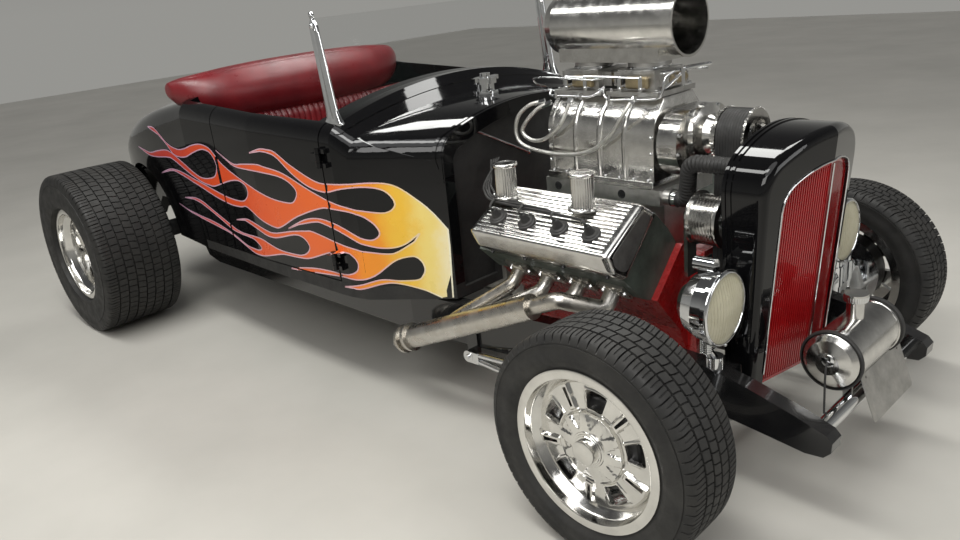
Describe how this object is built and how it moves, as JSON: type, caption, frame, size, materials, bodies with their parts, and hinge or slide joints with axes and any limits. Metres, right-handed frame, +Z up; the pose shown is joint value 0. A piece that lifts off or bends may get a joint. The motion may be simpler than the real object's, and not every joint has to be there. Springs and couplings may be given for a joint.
{
  "type": "hot rod",
  "caption": "Open two-seat roadster with no fenders, an exposed supercharged engine, side pipes, wide rear tyres and a chopped flat windscreen.",
  "frame": {"origin": "on the ground under the middle of the car's bounding box", "axes": "+X forward, +Y to the car's left, +Z up"},
  "size_m": [3.575, 1.888, 1.2989],
  "materials": {
    "black_paint": "gloss",
    "frame_paint": "gloss",
    "red_leather": "satin",
    "chrome": "polished",
    "polished_alloy": "polished",
    "cast_alloy": "satin",
    "red_engine": "gloss",
    "head_paint": "satin",
    "pipe_steel": "satin",
    "dark_steel": "satin",
    "red_bars": "gloss",
    "black_rubber": "matte",
    "tyre_rubber": "matte",
    "lamp_glass": "fluted",
    "clear_glass": "clear",
    "red_lens": "gloss"
  },
  "bodies": {
    "chassis": {"cowl": "black_paint", "firewall": "black_paint", "floor_pan": "black_paint", "rear_body": "black_paint", "wheel_tubs": "black_paint", "frame": "frame_paint", "spreader_bar": "chrome", "fuel_tank": "polished_alloy", "grille_shell": "black_paint", "grille_bars": "red_bars", "radiator": "dark_steel", "engine_block": "red_engine", "cylinder_heads": "head_paint", "rocker_covers": "polished_alloy", "intake_manifold": "cast_alloy", "blower_case": "polished_alloy", "blower_drive": "polished_alloy", "crank_pulley": "dark_steel", "belt_idler": "polished_alloy", "blower_belt": "black_rubber", "carburettors": "cast_alloy", "air_scoop": "polished_alloy", "exhaust_headers": "pipe_steel", "gearbox": "cast_alloy", "coolant_hose": "black_rubber", "fuel_cap": "chrome", "screen_posts": "chrome", "screen_glass": "clear_glass", "seat": "red_leather", "dashboard": "black_paint", "steering_column": "chrome", "front_axle": "chrome", "hairpins": "chrome", "front_spring": "dark_steel", "rear_axle": "dark_steel", "rear_suspension": "dark_steel", "headlamps": "chrome", "headlamp_lenses": "lamp_glass", "tail_lamps": "red_lens", "number_plate": "chrome"},
    "door_right": {"door_right": "black_paint"},
    "door_left": {"door_left": "black_paint"},
    "boot_lid": {"boot_lid": "black_paint"},
    "steering_wheel": {"steering_wheel": "chrome"},
    "knuckle_left": {"knuckle_left": "chrome"},
    "knuckle_right": {"knuckle_right": "chrome"},
    "tie_rod": {"tie_rod": "chrome"},
    "wheel_front_right": {"rim_front_right": "polished_alloy", "tyre_front_right": "tyre_rubber"},
    "wheel_rear_right": {"rim_rear_right": "polished_alloy", "tyre_rear_right": "tyre_rubber"},
    "wheel_front_left": {"rim_front_left": "polished_alloy", "tyre_front_left": "tyre_rubber"},
    "wheel_rear_left": {"rim_rear_left": "polished_alloy", "tyre_rear_left": "tyre_rubber"}
  },
  "joints": [
    {"name": "steer_left", "type": "hinge", "parent": "chassis", "child": "knuckle_left", "pos_m": [1.3925, 0.585, 0.297], "axis": [0, 0, 1], "range_deg": [-25, 25]},
    {"name": "steer_right", "type": "hinge", "parent": "chassis", "child": "knuckle_right", "pos_m": [1.3925, -0.585, 0.297], "axis": [0, 0, 1], "range_deg": [-25, 25]},
    {"name": "tie_rod_pivot", "type": "hinge", "parent": "knuckle_left", "child": "tie_rod", "pos_m": [1.2625, 0.585, 0.222], "axis": [0, 0, 1], "range_deg": [-25, 25]},
    {"name": "steering_wheel_turn", "type": "hinge", "parent": "chassis", "child": "steering_wheel", "pos_m": [-0.0875, 0.3, 0.85], "axis": [-0.848, 0, 0.5299], "range_deg": [-300, 300]},
    {"name": "door_right_hinge", "type": "hinge", "parent": "chassis", "child": "door_right", "pos_m": [0.2265, -0.597, 0.7], "axis": [0, 0, 1], "range_deg": [0, 65]},
    {"name": "door_left_hinge", "type": "hinge", "parent": "chassis", "child": "door_left", "pos_m": [0.2265, 0.597, 0.7], "axis": [0, 0, -1], "range_deg": [0, 65]},
    {"name": "boot_lid_hinge", "type": "hinge", "parent": "chassis", "child": "boot_lid", "pos_m": [-0.9525, 0, 1.04722], "axis": [0, 1, 0], "range_deg": [0, 50]},
    {"name": "wheel_front_right_spin", "type": "hinge", "parent": "knuckle_right", "child": "wheel_front_right", "pos_m": [1.3925, -0.675, 0.297], "axis": [0, 1, 0], "continuous": true},
    {"name": "wheel_rear_right_spin", "type": "hinge", "parent": "chassis", "child": "wheel_rear_right", "pos_m": [-1.3275, -0.774, 0.359], "axis": [0, 1, 0], "continuous": true},
    {"name": "wheel_front_left_spin", "type": "hinge", "parent": "knuckle_left", "child": "wheel_front_left", "pos_m": [1.3925, 0.675, 0.297], "axis": [0, 1, 0], "continuous": true},
    {"name": "wheel_rear_left_spin", "type": "hinge", "parent": "chassis", "child": "wheel_rear_left", "pos_m": [-1.3275, 0.774, 0.359], "axis": [0, 1, 0], "continuous": true}
  ],
  "couplings": [
    {"joint": "steer_right", "follows": "steer_left", "ratio": 1},
    {"joint": "tie_rod_pivot", "follows": "steer_left", "ratio": -1},
    {"joint": "steering_wheel_turn", "follows": "steer_left", "ratio": 12}
  ]
}
